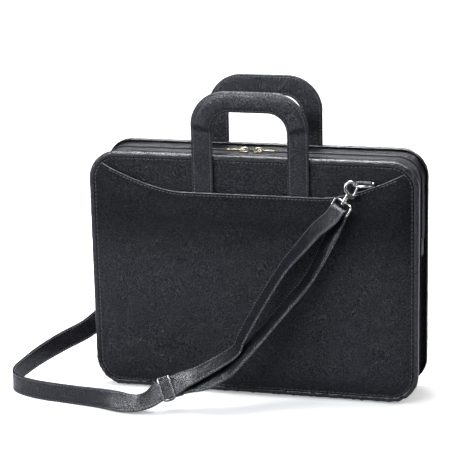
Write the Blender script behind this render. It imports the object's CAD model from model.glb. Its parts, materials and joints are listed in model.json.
"""A black leather briefcase with a zip over its top, two arched handles and a shoulder strap.

It stands on z = 0 with its width along X, its front towards -Y and its top towards +Z.
The rear half mirrors the front one: `side` is -1 for the front and +1 for the rear.
Build code works in millimetres; meshes are scaled to metres as they are made.
"""
import json
import math

import bmesh
import bpy
import numpy as np
from mathutils import Matrix, Vector


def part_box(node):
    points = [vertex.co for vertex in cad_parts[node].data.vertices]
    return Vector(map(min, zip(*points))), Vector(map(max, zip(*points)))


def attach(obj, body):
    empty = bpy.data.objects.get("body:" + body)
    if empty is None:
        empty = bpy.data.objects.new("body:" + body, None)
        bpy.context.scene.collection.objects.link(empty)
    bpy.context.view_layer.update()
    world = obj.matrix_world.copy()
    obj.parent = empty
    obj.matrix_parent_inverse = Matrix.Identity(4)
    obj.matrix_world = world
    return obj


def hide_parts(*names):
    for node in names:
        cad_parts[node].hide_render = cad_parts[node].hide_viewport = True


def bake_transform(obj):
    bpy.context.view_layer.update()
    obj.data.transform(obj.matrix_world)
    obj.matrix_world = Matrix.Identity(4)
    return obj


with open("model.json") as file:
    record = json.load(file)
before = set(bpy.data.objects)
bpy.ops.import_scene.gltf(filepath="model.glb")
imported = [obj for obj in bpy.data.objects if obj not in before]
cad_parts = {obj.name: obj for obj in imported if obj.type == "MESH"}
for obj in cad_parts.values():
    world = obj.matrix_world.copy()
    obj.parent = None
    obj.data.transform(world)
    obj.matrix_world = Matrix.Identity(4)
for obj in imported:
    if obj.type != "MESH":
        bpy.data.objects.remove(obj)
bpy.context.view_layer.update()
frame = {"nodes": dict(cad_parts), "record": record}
RECORD = frame["record"]
JOINTS = {joint["name"]: joint for joint in RECORD["behaviour"]["joints"]}
SHELL = {-1: "front_shell", 1: "rear_shell"}
TAG = {-1: "front", 1: "rear"}
MM = 0.001


def box_mm(node):
    low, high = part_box(node)
    return np.array(low) / MM, np.array(high) / MM


def joint_mm(name):
    return np.array(JOINTS[name]["pos_m"]) / MM


# ---------------------------------------------------------------- sizes
low, high = box_mm("front_binding")
HALF_W = (high[0] - low[0]) / 2
BASE_Z, TOP_Z = low[2], high[2]
BINDING_Y = -low[1]                          # outer face of the binding lip
CORNER_R = 34.0                              # corners of the panel's outline
POCKET_Y = -box_mm("front_pocket")[0][1]     # outer faces of the pocket and the cover
COVER_Y = -box_mm("front_cover")[0][1]
low, high = box_mm("front_handle_cover")
LEG_Y, GRIP_Y = -high[1], -low[1]            # inner face of the legs, outer face of the grip
HANDLE_BASE, HANDLE_TOP, HANDLE_HALF = low[2], high[2], high[0]
ZIP_Z = box_mm("rear_gusset")[0][2]          # height of the zip's two ends

# the pocket's upper edge: level in the middle, rising to the sides
POCKET_Z, POCKET_RISE, POCKET_FLAT, POCKET_HALF = 252.0, 31.0, 85.0, 182

# the handle's leg and bar widths, and its outer and inner bends
LEG_W, BAR_W, BEND_OUT, BEND_IN = 26.0, 25.0, 43.0, 23.0
REAR_LIFT = 5.0                              # the rear handle stands this much higher

COIL_PITCH = 1.45


# ---------------------------------------------------------------- small maths
def unit(vectors):
    vectors = np.asarray(vectors, float)
    return vectors / np.maximum(np.linalg.norm(vectors, axis=-1, keepdims=True), 1e-9)


def columns(*arrays):
    """Coordinates side by side; plain numbers are repeated to fit."""
    return np.stack(np.broadcast_arrays(*arrays), -1)


def smooth(t):
    t = np.clip(t, 0, 1)
    return t * t * (3 - 2 * t)


def bell(value, centre, width):
    return np.exp(-((value - centre) / width) ** 2)


def rounded(edge, radius, least=0.0):
    """Quarter-circle rise from an edge, 0 to 1, over the given radius."""
    return np.sqrt(np.clip(1 - (1 - np.clip(edge / radius, 0, 1)) ** 2, least, 1))


def circle(seg):
    return np.arange(seg) * 2 * math.pi / seg


def noise(points, scale, seed, waves=28):
    """Smooth seeded noise, about -1..1, from a fixed sum of cosines."""
    points = np.asarray(points, float)
    rng = np.random.RandomState(seed)
    vectors = unit(rng.normal(size=(waves, points.shape[-1]))) * (2 * math.pi / scale)
    vectors = vectors * rng.uniform(0.55, 1.45, (waves, 1))
    phases = rng.uniform(0, 2 * math.pi, waves)
    return np.cos(points @ vectors.T + phases).sum(-1) * math.sqrt(2.0 / waves) * 0.6


def lengths(path):
    """Distance along a path at each of its points."""
    return np.concatenate([[0], np.cumsum(np.linalg.norm(np.diff(path, axis=0), axis=1))])


def tangents(path):
    return unit(np.concatenate([[path[1] - path[0]], path[2:] - path[:-2],
                                [path[-1] - path[-2]]]))


def relax(points, passes, closed=False):
    """Evens out a path by averaging neighbours; the ends of an open path stay."""
    points = np.array(points, float)
    for _ in range(passes):
        if closed:
            points = points * 0.5 + (np.roll(points, 1, 0) + np.roll(points, -1, 0)) * 0.25
        else:
            points[1:-1] = points[1:-1] * 0.5 + (points[:-2] + points[2:]) * 0.25
    return points


def spline(stations, step=None):
    """Smooth curve through the stations: about one point per step, or four per span."""
    stations = np.array(stations, float)
    last = len(stations) - 1
    curve = []
    for i in range(last):
        a, b, c, d = (stations[k] for k in (max(i - 1, 0), i, i + 1, min(i + 2, last)))
        count = max(2, int(np.linalg.norm(c[:3] - b[:3]) / step) + 1) if step else 4
        for t in np.arange(count) / count:
            curve.append(0.5 * (2 * b + (c - a) * t + (2 * a - 5 * b + 4 * c - d) * t * t
                                + (3 * b - a - 3 * c + d) * t ** 3))
    curve.append(stations[-1])
    return np.array(curve)


def clustered(total, near=14.0, fine=(0, .35, .7, 1.1, 1.6, 2.2, 2.8, 3.4, 4.0, 4.6, 5.3, 6.0,
                                      6.8, 7.6, 8.6, 9.8, 11.2, 12.6), step=3.2, spans=None):
    """Stations from 0 to total, fine within `near` of both ends and even between."""
    spans = spans or max(2, int((total - 2 * near) / step))
    middle = near + (total - 2 * near) * np.arange(spans + 1) / spans
    fine = np.array(fine)
    return np.concatenate([fine, middle, total - fine[::-1]])


def place(points, axes):
    """Local points into axes (origin, x, y, z)."""
    origin, x, y, z = axes
    points = np.asarray(points, float)
    return origin + points[..., :1] * x + points[..., 1:2] * y + points[..., 2:3] * z


def to_side(points, side):
    """Points built for the front half, mirrored when they are for the rear."""
    points = np.array(points, float)
    if side > 0:
        points[..., 1] *= -1
    return points


# ---------------------------------------------------------------- outline of the panels
def trace(parts, radius, stations, turn=1):
    """Points (x, z) and outward normals at distances along straights and arcs.

    A part is (centre, angle of its first normal in degrees, length, whether an arc). The
    path keeps `radius` from the centres, anticlockwise for turn 1, clockwise for -1.
    """
    points, normals = np.zeros((2, len(stations), 2))
    start = 0
    for centre, degrees, length, is_arc in parts:
        later = stations >= start - 1e-9
        along = stations[later] - start
        angle = np.radians(degrees) + turn * along / radius * is_arc
        normals[later] = columns(np.cos(angle), np.sin(angle))
        points[later] = centre + radius * normals[later]
        if not is_arc:
            points[later] += turn * along[:, None] * columns(-np.sin(angle), np.cos(angle))
        start += length
    return points, normals


def outline_path(n):
    """The whole outline by arc length, from the bottom middle and to the right first."""
    half_x, half_z = HALF_W - CORNER_R, (TOP_Z - BASE_Z) / 2 - CORNER_R
    middle = (BASE_Z + TOP_Z) / 2
    lower, upper = middle - half_z, middle + half_z
    parts = [((0, lower), -90, half_x, False)]
    for centre, degrees, straight in (((half_x, lower), -90, 2 * half_z),
                                      ((half_x, upper), 0, 2 * half_x),
                                      ((-half_x, upper), 90, 2 * half_z),
                                      ((-half_x, lower), 180, half_x)):
        parts += [(centre, degrees, math.pi * CORNER_R / 2, True),
                  (centre, degrees + 90, straight, False)]
    total = sum(part[2] for part in parts)
    stations = np.arange(n) * total / n
    return *trace(parts, CORNER_R, stations), stations, total


def top_path(n, gap, end_z=ZIP_Z):
    """From the zip's right end over the top to its left end, inset by gap."""
    radius = CORNER_R - gap
    half_x, centre_z = HALF_W - CORNER_R, TOP_Z - CORNER_R
    right, left = (half_x, centre_z), (-half_x, centre_z)
    arc = math.pi * radius / 2
    parts = [((half_x, end_z), 0, centre_z - end_z, False), (right, 0, arc, True),
             (right, 90, 2 * half_x, False), (left, 90, arc, True),
             (left, 180, centre_z - end_z, False)]
    stations = np.linspace(0, sum(part[2] for part in parts), n)
    return *trace(parts, radius, stations), stations


def inset(x, z):
    """How far a point lies inside the outline."""
    middle, half_z = (BASE_Z + TOP_Z) / 2, (TOP_Z - BASE_Z) / 2
    over_x = np.abs(x) - (HALF_W - CORNER_R)
    over_z = np.abs(z - middle) - (half_z - CORNER_R)
    outside = np.hypot(np.maximum(over_x, 0), np.maximum(over_z, 0))
    return CORNER_R - (outside + np.minimum(np.maximum(over_x, over_z), 0))


def half_width(z, gap):
    """Half-width at height z of the outline inset by gap."""
    radius = CORNER_R - gap
    z = np.clip(z, BASE_Z + gap, TOP_Z - gap)
    over = np.maximum(0, np.maximum(BASE_Z + gap + radius - z, z - (TOP_Z - gap - radius)))
    return HALF_W - gap - radius + np.sqrt(np.maximum(0, radius * radius - over * over))


def edge_z(x):
    """Height of the pocket's upper edge."""
    beyond = np.maximum(0, np.abs(x) - POCKET_FLAT) / (POCKET_HALF - POCKET_FLAT)
    return POCKET_Z + POCKET_RISE * np.power(beyond, 1.6)


# ---------------------------------------------------------------- mesh helpers
def link_mesh(name, mesh, material):
    obj = bpy.data.objects.new(name, mesh)
    bpy.context.scene.collection.objects.link(obj)
    mesh.materials.append(material)
    return obj


class Parts:
    """Collects the parts of one mesh. Points are in millimetres."""

    def __init__(self):
        self.points, self.quads, self.tris, self.count = [], [], [], 0

    def add(self, points, quads=None, tris=None):
        points = np.asarray(points, float).reshape(-1, 3)
        for faces, size, store in ((quads, 4, self.quads), (tris, 3, self.tris)):
            if faces is not None:
                store.append(np.asarray(faces, int).reshape(-1, size) + self.count)
        self.points.append(points)
        self.count += len(points)

    def grid(self, points, close_u=False, close_v=False, flip=False):
        rows, cols = points.shape[:2]
        index = np.arange(rows * cols).reshape(rows, cols)
        u, v = np.meshgrid(np.arange(rows if close_u else rows - 1),
                           np.arange(cols if close_v else cols - 1), indexing="ij")
        u2, v2 = (u + 1) % rows, (v + 1) % cols
        quads = columns(index[u, v], index[u2, v], index[u2, v2], index[u, v2])
        quads = quads.reshape(-1, 4)
        self.add(points, quads[:, ::-1] if flip else quads)

    def shell(self, outer, inner, flip=False):
        """Closed shell from two equal grids, joined round their borders."""
        self.grid(outer, flip=flip)
        self.grid(inner, flip=not flip)
        for a, b, turned in ((outer[0], inner[0], not flip), (outer[-1], inner[-1], flip),
                             (outer[:, 0], inner[:, 0], flip),
                             (outer[:, -1], inner[:, -1], not flip)):
            self.grid(np.stack([a, b]), flip=turned)

    def capped(self, rings, flip):
        """A sweep of closed rings with a fan over each end."""
        self.grid(rings, close_v=True, flip=flip)
        for end in (0, -1):
            ring = rings[end]
            k = np.arange(len(ring))
            fan = columns(k, np.roll(k, -1), len(ring))
            self.add([*ring, ring.mean(0)], tris=fan[:, ::-1] if end else fan)

    def beads(self, rings, flip):
        """Many small closed sweeps; rings is (bead, row, segment, xyz)."""
        seg = rings.shape[2]
        index = np.arange(rings[..., 0].size).reshape(rings.shape[:3])
        turned = np.roll(index, -1, 2)
        quads = columns(index[:, :-1], index[:, 1:], turned[:, 1:], turned[:, :-1])
        quads = quads.reshape(-1, 4)
        tris = np.concatenate([columns(end[:, 0], end[:, k], end[:, k + 1])
                               for end in (index[:, 0, ::-1], index[:, -1])
                               for k in range(1, seg - 1)])
        if flip:
            quads, tris = quads[:, ::-1], tris[:, ::-1]
        self.add(rings, quads, tris)

    def tube(self, path, radius, seg=12, closed=False, up=(0, 0, 1)):
        """A round tube, domed at its ends; radius is a number or one per point."""
        path = np.asarray(path, float)
        radius = np.broadcast_to(np.asarray(radius, float), (len(path),))
        if closed:
            along = unit(np.roll(path, -1, 0) - np.roll(path, 1, 0))
        else:
            along = tangents(path)
        normal = np.array(up, float)
        if abs(unit(normal) @ along[0]) > 0.95:
            normal = np.array([1.0, 0.1, 0])
        normals = np.zeros_like(path)
        for k, tangent in enumerate(along):
            normal = unit(normal - tangent * (normal @ tangent))
            normals[k] = normal
        cos, sin = np.cos(circle(seg))[:, None], np.sin(circle(seg))[:, None]
        across = np.cross(along, normals)
        rings = path[:, None] + radius[:, None, None] * (cos * normals[:, None]
                                                         + sin * across[:, None])
        if not closed:
            dome = ((0.0001, 0.8), (0.5, 0.7), (0.86, 0.42))     # (width, reach) of radius
            first, last = ([path[e] + way * along[e] * radius[e] * reach
                            + (rings[e] - path[e]) * width for width, reach in dome]
                           for e, way in ((0, -1), (-1, 1)))
            rings = np.concatenate([first, rings, last[::-1]])
        self.grid(rings, close_u=closed, close_v=True, flip=True)

    def lathe(self, profile, axes, seg=28):
        """Turns (radius, z) points round the z of axes."""
        radius, z = np.array(profile, float).T[..., None]
        angle = circle(seg)
        points = columns(radius * np.cos(angle), radius * np.sin(angle), z)
        self.grid(place(points, axes), close_v=True)

    def stitches(self, path, normals, pitch, radius=0.42, lift=0.12):
        """Thread stitches along a path; normals is one vector or one per point."""
        path = np.asarray(path, float)
        normals = np.broadcast_to(np.asarray(normals, float), path.shape)
        dist = lengths(path)
        count = int(dist[-1] / pitch)
        if count < 1:
            return
        half = pitch * 0.72 / 2
        mids = (np.arange(count) + 0.5) * dist[-1] / count

        def at(where, values):
            return np.stack([np.interp(where, dist, values[:, k]) for k in range(3)], -1)

        centres, up = at(mids, path), unit(at(mids, normals))
        along = unit(at(mids + 0.5, path) - at(mids - 0.5, path))
        across = unit(np.cross(along, up))
        cos, sin = np.cos(circle(6)), np.sin(circle(6))
        section = cos[None, :, None] * up[:, None] + sin[None, :, None] * across[:, None]
        # place along the stitch, share of the radius, rise
        rows = [(-1.0, 0.25, -0.5), (-0.82, 0.8, -0.1), (-0.35, 1.0, 0.32),
                (0.35, 1.0, 0.32), (0.82, 0.8, -0.1), (1.0, 0.25, -0.5)]
        rings = [(centres + along * (far * half) + up * (lift + rise * radius))[:, None]
                 + section * (share * radius) for far, share, rise in rows]
        self.beads(np.stack(rings, 1), flip=True)

    def make(self, name, material):
        points = np.concatenate(self.points) * MM
        quads = np.concatenate([np.zeros((0, 4), int), *self.quads])
        tris = np.concatenate([np.zeros((0, 3), int), *self.tris])
        corners = np.concatenate([quads.ravel(), tris.ravel()])
        starts = np.concatenate([np.arange(len(quads)) * 4,
                                 quads.size + np.arange(len(tris)) * 3])
        mesh = bpy.data.meshes.new(name)
        mesh.vertices.add(len(points))
        mesh.vertices.foreach_set("co", points.ravel())
        mesh.loops.add(len(corners))
        mesh.loops.foreach_set("vertex_index", corners.astype(np.int32))
        mesh.polygons.add(len(starts))
        mesh.polygons.foreach_set("loop_start", starts.astype(np.int32))
        mesh.polygons.foreach_set("use_smooth", np.full(len(starts), True))
        mesh.update(calc_edges=True)
        mesh.validate()
        return link_mesh(name, mesh, material)


def weld(obj, distance=0.00002):
    """Merges points closer than distance (m), faces the mesh outwards and smooths it."""
    work = bmesh.new()
    work.from_mesh(obj.data)
    bmesh.ops.remove_doubles(work, verts=work.verts, dist=distance)
    bmesh.ops.dissolve_degenerate(work, edges=work.edges, dist=distance / 4)
    bmesh.ops.recalc_face_normals(work, faces=work.faces)
    work.to_mesh(obj.data)
    work.free()
    for face in obj.data.polygons:
        face.use_smooth = True


def plate(name, loops, half_thick, bevel, axes, material):
    """A flat plate with rounded edges from 2-D loops: the first outside, the rest holes."""
    curve = bpy.data.curves.new(name, "CURVE")
    curve.dimensions = "2D"
    curve.fill_mode = "BOTH"
    curve.extrude = max(half_thick - bevel, 0) * MM
    curve.bevel_depth = bevel * MM
    curve.bevel_resolution = 2
    curve.offset = -bevel * MM
    for loop in loops:
        line = curve.splines.new("POLY")
        line.points.add(len(loop) - 1)
        for point, (x, y) in zip(line.points, loop):
            point.co = (x * MM, y * MM, 0, 1)
        line.use_cyclic_u = True
    flat = bpy.data.objects.new(name, curve)
    bpy.context.scene.collection.objects.link(flat)
    graph = bpy.context.evaluated_depsgraph_get()
    mesh = bpy.data.meshes.new_from_object(flat.evaluated_get(graph))
    bpy.data.objects.remove(flat)
    matrix = np.eye(4)
    matrix[:3, :3] = np.array(axes[1:], float).T
    matrix[:3, 3] = np.array(axes[0], float) * MM
    mesh.transform(Matrix(matrix.tolist()))
    mesh.materials.clear()
    obj = link_mesh(name, mesh, material)
    weld(obj, 0.00001)
    for face in mesh.polygons:
        face.use_smooth = False
    return obj


def join(name, objects):
    """One object from several of the same material."""
    material = objects[0].data.materials[0]
    work = bmesh.new()
    for obj in objects:
        work.from_mesh(obj.data)
        bpy.data.objects.remove(obj)
    mesh = bpy.data.meshes.new(name)
    work.to_mesh(mesh)
    work.free()
    return link_mesh(name, mesh, material)


def assign(obj, body, slot, *nodes):
    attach(obj, body)
    if nodes:
        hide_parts(*nodes)


# ---------------------------------------------------------------- shader helpers
class Shader:
    """The node tree of a material or world, with short calls for adding nodes."""

    def __init__(self, owner):
        owner.use_nodes = True
        self.owner, self.tree = owner, owner.node_tree

    def put(self, socket, value):
        if isinstance(value, bpy.types.NodeSocket):
            self.tree.links.new(value, socket)
        else:
            socket.default_value = value

    def node(self, kind, settings=None, **inputs):
        node = self.tree.nodes.new("ShaderNode" + kind)
        for key, value in (settings or {}).items():
            setattr(node, key, value)
        for key, value in inputs.items():
            self.put(node.inputs[key], value)
        return node

    def coords(self, output="Object"):
        return self.node("TexCoord").outputs[output]

    def noise(self, vector, **inputs):
        return self.node("TexNoise", Vector=vector, **inputs).outputs["Fac"]

    def math(self, operation, first, second, clamp=False):
        node = self.node("Math", {"operation": operation, "use_clamp": clamp})
        self.put(node.inputs[0], first)
        self.put(node.inputs[1], second)
        return node.outputs[0]

    def add(self, first, second):
        return self.math("ADD", first, second)

    def times(self, first, second, clamp=False):
        return self.math("MULTIPLY", first, second, clamp)

    def minus(self, first, second):
        return self.math("SUBTRACT", first, second)

    def ramp(self, factor, *stops):
        """Colour ramp; a stop is (position, grey or colour)."""
        node = self.node("ValToRGB", Fac=factor)
        elements = node.color_ramp.elements
        while len(elements) < len(stops):
            elements.new(0.5)
        for element, (position, colour) in zip(elements, stops):
            colour = colour if isinstance(colour, tuple) else (colour,) * 3
            element.position = position
            element.color = (*colour, 1)
        return node.outputs[0]

    def bump(self, height, strength, distance, **inputs):
        return self.node("Bump", Height=height, Strength=strength, Distance=distance,
                         **inputs).outputs["Normal"]

    def surface(self, inputs):
        """Sets the surface shader's inputs and gives back the material."""
        sockets = self.tree.nodes["Principled BSDF"].inputs
        for key, value in inputs.items():
            self.put(sockets[key], value)
        return self.owner


# ---------------------------------------------------------------- material kinds
def leather(name, dark, light, rough, grain, bump, wrinkle, spec=0.5, wrinkle_scale=55.0,
            depth=0.0004, coat=0.12, fade=None):
    """Grained leather. grain is the pebble size in mm and depth its bump height in m;
    fade is (from z, to z, factor) in metres, scaling colour and reflection with height."""
    shader = Shader(bpy.data.materials.new(name))
    coords = shader.coords()
    # pebbles and the cracks between them, on slightly warped coordinates
    warp = shader.node("TexNoise", Vector=coords, Scale=160.0, Detail=3.0, Roughness=0.6)
    warped = shader.node("MixRGB", Fac=0.0035, Color1=coords,
                         Color2=warp.outputs["Color"]).outputs[0]
    pebble = shader.node("TexVoronoi", {"feature": "SMOOTH_F1"}, Vector=warped,
                         Scale=1000.0 / grain, Smoothness=0.35).outputs["Distance"]
    crack = shader.node("TexVoronoi", {"feature": "DISTANCE_TO_EDGE"}, Vector=warped,
                        Scale=1000.0 / (grain * 2.7)).outputs["Distance"]
    crack = shader.math("MINIMUM", crack, 0.12)
    fine = shader.noise(coords, Scale=1500.0, Detail=2.0)
    folds = shader.noise(coords, Scale=wrinkle_scale, Detail=5.0, Roughness=0.62,
                         Distortion=0.6)
    mottle = shader.noise(coords, Scale=980.0, Detail=1.5, Roughness=0.55)
    # height: how much each layer adds
    height = shader.add(shader.times(pebble, -1.1), shader.times(crack, 3.4))
    height = shader.add(height, shader.times(fine, 0.3))
    height = shader.add(height, shader.times(mottle, 1.5))
    normal = shader.bump(height, bump, depth)
    normal = shader.bump(folds, wrinkle, 0.0025, Normal=normal)
    # colour: broad patches, paler where edges are worn
    patches = shader.noise(coords, Scale=9.0, Detail=4.0, Roughness=0.6)
    pointed = shader.node("NewGeometry").outputs["Pointiness"]
    wear = shader.times(shader.minus(pointed, 0.515), 9.0, clamp=True)
    blend = shader.add(shader.times(patches, 0.75), shader.times(crack, 2.0))
    worn = tuple(c * 2.5 + extra for c, extra in zip(light, (0.05, 0.05, 0.055)))
    colour = shader.node("MixRGB", Fac=shader.times(wear, 0.75), Color2=(*worn, 1),
                         Color1=shader.ramp(blend, (0.25, dark), (0.8, light))).outputs[0]
    gloss = shader.add(shader.times(folds, 0.5), shader.times(mottle, 0.5))
    gloss = shader.ramp(gloss, (0.36, rough + 0.05), (0.64, rough - 0.07))
    # pores and valleys reflect less than the polished tops of the grain
    shine = shader.times(shader.ramp(mottle, (0.42, 0.08), (0.60, 1.0)), spec * 1.55)
    if fade:
        start, end, factor = fade
        z = shader.node("SeparateXYZ", Vector=coords).outputs["Z"]
        t = shader.times(shader.minus(z, start), 1.0 / (end - start), clamp=True)
        t = shader.times(shader.times(t, t), shader.minus(3.0, shader.times(t, 2.0)))
        kept = shader.minus(1.0, shader.times(t, 1.0 - factor))
        shine = shader.times(shine, kept)
        colour = shader.node("MixRGB", {"blend_type": "MULTIPLY"}, Fac=1.0, Color1=colour,
                             Color2=kept).outputs[0]
    return shader.surface({"Normal": normal, "Base Color": colour, "Roughness": gloss,
                           "Specular IOR Level": shine, "Coat Weight": coat,
                           "Coat Roughness": 0.16, "Coat Normal": normal})


def metal(name, colour, rough, bump=0.03):
    """Metal with faint patches of colour and polish, and a fine scratchy bump."""
    shader = Shader(bpy.data.materials.new(name))
    coords = shader.coords()
    patches = shader.noise(coords, Scale=350.0, Detail=4.0, Roughness=0.6)
    scratches = shader.noise(coords, Scale=2600.0, Detail=2.0)
    return shader.surface({
        "Metallic": 1.0,
        "Base Color": shader.ramp(patches, (0.3, tuple(c * 0.9 for c in colour)),
                                  (0.7, tuple(min(1, c * 1.06) for c in colour))),
        "Roughness": shader.ramp(patches, (0.3, rough * 0.7), (0.75, rough * 1.5)),
        "Normal": shader.bump(scratches, bump, 0.0002)})


def weave(name, dark, light, pitch, rough, bump):
    """Woven cloth; pitch is the thread spacing in mm."""
    shader = Shader(bpy.data.materials.new(name))
    coords = shader.coords()
    bands = [shader.node("TexWave", {"bands_direction": axis}, Vector=coords,
                         Scale=1000.0 / pitch / 20.0, Distortion=0.4,
                         Detail=1.0).outputs["Fac"] for axis in "XYZ"]
    height = shader.math("MAXIMUM", shader.math("MAXIMUM", bands[0], bands[1]), bands[2])
    patches = shader.noise(coords, Scale=60.0, Detail=4.0)
    blend = shader.times(shader.add(height, patches), 0.6)
    return shader.surface({"Base Color": shader.ramp(blend, (0.2, dark), (0.9, light)),
                           "Normal": shader.bump(height, bump, 0.0003),
                           "Roughness": rough, "Sheen Weight": 0.15})


def thread(name, dark, light, rough):
    """Twisted thread: diagonal bands broken by fine noise."""
    shader = Shader(bpy.data.materials.new(name))
    coords = shader.coords()
    twist = shader.node("TexWave", {"bands_direction": "DIAGONAL"}, Vector=coords,
                        Scale=220.0, Distortion=1.5).outputs["Fac"]
    fibres = shader.noise(coords, Scale=900.0, Detail=2.0)
    height = shader.times(shader.add(twist, fibres), 0.5)
    return shader.surface({"Base Color": shader.ramp(height, (0.2, dark), (0.8, light)),
                           "Normal": shader.bump(height, 0.6, 0.0002),
                           "Roughness": rough, "Sheen Weight": 0.2})


def plain(name, dark, light, rough, scale, bump):
    """One noise drives colour, roughness and bump."""
    shader = Shader(bpy.data.materials.new(name))
    patches = shader.noise(shader.coords(), Scale=scale, Detail=5.0, Roughness=0.65)
    return shader.surface({
        "Base Color": shader.ramp(patches, (0.3, dark), (0.75, light)),
        "Roughness": shader.ramp(patches, (0.3, rough - 0.08), (0.75, rough + 0.08)),
        "Normal": shader.bump(patches, bump, 0.0006)})


# ---------------------------------------------------------------- materials
MAT_PANEL = leather("panel_leather", dark=(0.0045, 0.0045, 0.0068),
                    light=(0.0105, 0.0105, 0.0150), rough=0.31, grain=1.35, bump=0.75,
                    wrinkle=0.22, spec=0.42, depth=0.0006, fade=(0.235, 0.275, 0.75))
MAT_POCKET = leather("pocket_leather", dark=(0.0040, 0.0040, 0.0062),
                     light=(0.0095, 0.0095, 0.0138), rough=0.31, grain=1.45, bump=0.8,
                     wrinkle=0.28, spec=0.44, wrinkle_scale=42.0, depth=0.0006,
                     fade=(0.150, 0.228, 0.42))
MAT_EDGE = leather("edge_leather", dark=(0.004, 0.004, 0.0055), light=(0.009, 0.009, 0.012),
                   rough=0.25, grain=1.0, bump=0.3, wrinkle=0.5, wrinkle_scale=110.0,
                   spec=0.62, coat=0.7)
MAT_BEAD = leather("bead_leather", dark=(0.022, 0.022, 0.027), light=(0.052, 0.052, 0.060),
                   rough=0.24, grain=0.9, bump=0.3, wrinkle=0.2, spec=0.5, coat=1.0)
MAT_GUSSET = leather("gusset_leather", dark=(0.0035, 0.0035, 0.0048),
                     light=(0.008, 0.008, 0.0108), rough=0.33, grain=1.2, bump=0.45,
                     wrinkle=0.55, wrinkle_scale=80.0, spec=0.18, coat=0.16)
MAT_HANDLE = leather("handle_leather", dark=(0.0045, 0.0045, 0.0066),
                     light=(0.0105, 0.0105, 0.0145), rough=0.30, grain=1.15, bump=0.7,
                     wrinkle=0.22, wrinkle_scale=70.0, spec=0.34, depth=0.0005, coat=0.25,
                     fade=(0.30, 0.345, 1.42))
MAT_STRAP = leather("strap_leather", dark=(0.004, 0.004, 0.0056),
                    light=(0.009, 0.009, 0.0125), rough=0.25, grain=0.95, bump=0.45,
                    wrinkle=0.4, wrinkle_scale=90.0, spec=0.5, coat=0.6)
MAT_RAIL = leather("rail_leather", dark=(0.02, 0.019, 0.018), light=(0.035, 0.033, 0.03),
                   rough=0.7, grain=0.8, bump=0.6, wrinkle=0.3)
MAT_THREAD = thread("thread", dark=(0.06, 0.06, 0.066), light=(0.15, 0.15, 0.165), rough=0.4)
MAT_NICKEL = metal("nickel", colour=(0.58, 0.57, 0.56), rough=0.16)
MAT_ZIP_METAL = metal("zip_metal", colour=(0.50, 0.43, 0.34), rough=0.24)
MAT_STEEL = metal("plain_steel", colour=(0.45, 0.45, 0.46), rough=0.35, bump=0.1)
MAT_COIL = plain("zip_coil", dark=(0.006, 0.006, 0.007), light=(0.014, 0.014, 0.016),
                 rough=0.33, scale=400.0, bump=0.15)
MAT_TAPE = weave("zip_tape", dark=(0.006, 0.006, 0.007), light=(0.02, 0.02, 0.023),
                 pitch=0.45, rough=0.75, bump=0.5)
MAT_LINING = weave("lining_cloth", dark=(0.012, 0.012, 0.015), light=(0.04, 0.04, 0.047),
                   pitch=0.6, rough=0.7, bump=0.4)
MAT_BOARD = plain("board", dark=(0.16, 0.12, 0.08), light=(0.3, 0.23, 0.15), rough=0.85,
                  scale=260.0, bump=0.5)
MAT_CORE = plain("handle_core", dark=(0.5, 0.47, 0.4), light=(0.62, 0.59, 0.52), rough=0.55,
                 scale=90.0, bump=0.15)

SLOT_MATERIALS = {
    "panel_leather": MAT_PANEL, "edge_leather": MAT_EDGE, "gusset_leather": MAT_GUSSET,
    "handle_leather": MAT_HANDLE, "strap_leather": MAT_STRAP, "board": MAT_BOARD,
    "lining_cloth": MAT_LINING, "zip_tape": MAT_TAPE, "zip_coil": MAT_COIL,
    "rail_leather": MAT_RAIL, "handle_core": MAT_CORE, "plain_steel": MAT_STEEL,
    "zip_metal": MAT_ZIP_METAL, "nickel_hardware": MAT_NICKEL}
for subpart in RECORD["subparts"]:
    node = frame["nodes"][subpart["node"]]
    material = SLOT_MATERIALS[subpart["material_slot"]]
    if node.material_slots:
        for slot in node.material_slots:
            slot.material = material
    else:
        node.data.materials.append(material)


# ---------------------------------------------------------------- panels
def cover_y(x, z, side):
    """Depth of the cover's outer face: softly domed, uneven, pulled in by its stitching."""
    edge = inset(x, z)
    flat = columns(x, z)
    y = COVER_Y - 0.25 + 0.75 * smooth(edge / 26)
    y = y + 0.22 * noise(flat, 90, 11 + side) + 0.10 * noise(flat, 28, 12 + side)
    return y - 0.5 * bell(edge, 8.0, 0.9)


def pocket_y(x, z, side):
    """Depth of the pocket's outer face."""
    edge = inset(x, z) - 4.2
    flat = columns(x, z)
    rise = 1 - np.exp(-np.maximum(edge - 1.0, 0) / 9.0)
    below = np.maximum(0, edge_z(x) - z)
    y = BINDING_Y - 0.15 + (POCKET_Y + 0.35 - BINDING_Y) * rise
    y += rise * (0.9 * noise(flat, 120, 21 + side) + 0.22 * noise(flat * [1, 1.5], 42, 22 + side)
                 + 0.08 * noise(flat, 16, 23 + side))
    # the handle's legs behind push the leather out
    for hand in (-1, 1):
        leg = smooth((18 - np.abs(x - hand * (HANDLE_HALF - 13))) / 12)
        y += 0.45 * leg * smooth((z - HANDLE_BASE + 14) / 24) * np.exp(-below / 90)
    y += 0.5 * np.exp(-below / 4.0) * rise
    fullness = 3.8 * smooth(below / 32) * (1 - 0.75 * smooth((below - 50) / 150))
    y += fullness * smooth(edge / 30)
    # the two stitch lines pull in
    y -= 0.45 * bell(below, 3.2, 0.75) * rise
    y -= 0.5 * bell(edge, 3.8, 0.9)
    return y


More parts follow.
